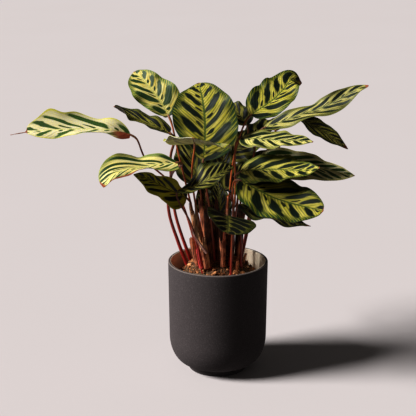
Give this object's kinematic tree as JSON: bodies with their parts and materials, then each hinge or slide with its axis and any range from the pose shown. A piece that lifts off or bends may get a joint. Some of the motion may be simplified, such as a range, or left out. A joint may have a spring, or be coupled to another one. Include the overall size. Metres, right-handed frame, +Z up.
{
  "type": "potted calathea plant",
  "caption": "Potted foliage plant with oval patterned leaves on slender red stems, rising from bark mix in a dark tapered ceramic pot with a rounded base.",
  "frame": {"origin": "centre of the pot's flat underside, where it rests", "axes": "+Z up the pot's axis; +X to the viewer's right as pictured; +Y away from the viewer"},
  "size_m": [0.4403, 0.2906, 0.3908],
  "materials": {
    "pot_charcoal": "matte",
    "bark_mix": "matte",
    "leaf_pale": "satin",
    "leaf_green": "satin",
    "leaf_dark": "satin",
    "stem_red": "satin",
    "stem_brown": "matte",
    "stem_tan": "matte"
  },
  "bodies": {
    "root": {"pot": "pot_charcoal", "soil": "bark_mix", "leaf_far_left": "leaf_pale", "stem_far_left": "stem_red", "leaf_upper_left": "leaf_pale", "stem_upper_left": "stem_red", "leaf_narrow_left": "leaf_dark", "stem_narrow_left": "stem_red", "leaf_centre": "leaf_green", "stem_centre": "stem_red", "leaf_forward": "leaf_dark", "stem_forward": "stem_red", "leaf_low_left": "leaf_pale", "stem_low_left": "stem_red", "leaf_hanging_left": "leaf_dark", "stem_hanging_left": "stem_red", "leaf_behind_centre": "leaf_dark", "stem_behind_centre": "stem_red", "leaf_lower_centre": "leaf_dark", "stem_lower_centre": "stem_red", "leaf_upper_right": "leaf_green", "stem_upper_right": "stem_red", "leaf_far_right": "leaf_green", "stem_far_right": "stem_red", "leaf_drooping_right": "leaf_dark", "stem_drooping_right": "stem_red", "leaf_right_upper": "leaf_green", "stem_right_upper": "stem_red", "leaf_right_middle": "leaf_green", "stem_right_middle": "stem_red", "leaf_right_rear": "leaf_dark", "stem_right_rear": "stem_red", "leaf_right_front": "leaf_green", "stem_right_front": "stem_red", "leaf_right_low": "leaf_dark", "stem_right_low": "stem_red", "leaf_front_low": "leaf_dark", "stem_front_low": "stem_red", "leaf_top_rear": "leaf_dark", "stem_top_rear": "stem_red", "leaf_rear_right": "leaf_dark", "stem_rear_right": "stem_red", "leaf_inner_high": "leaf_dark", "stem_inner_high": "stem_red", "leaf_inner_low": "leaf_dark", "stem_inner_low": "stem_red", "leaf_back_high": "leaf_green", "stem_back_high": "stem_red", "leaf_back_right": "leaf_green", "stem_back_right": "stem_red", "leaf_back_side": "leaf_green", "stem_back_side": "stem_red", "leaf_back_low": "leaf_dark", "stem_back_low": "stem_red", "stub_right": "stem_brown", "stub_far_right": "stem_brown", "dry_stem_left": "stem_tan", "dry_stem_centre": "stem_tan"}
  },
  "joints": []
}
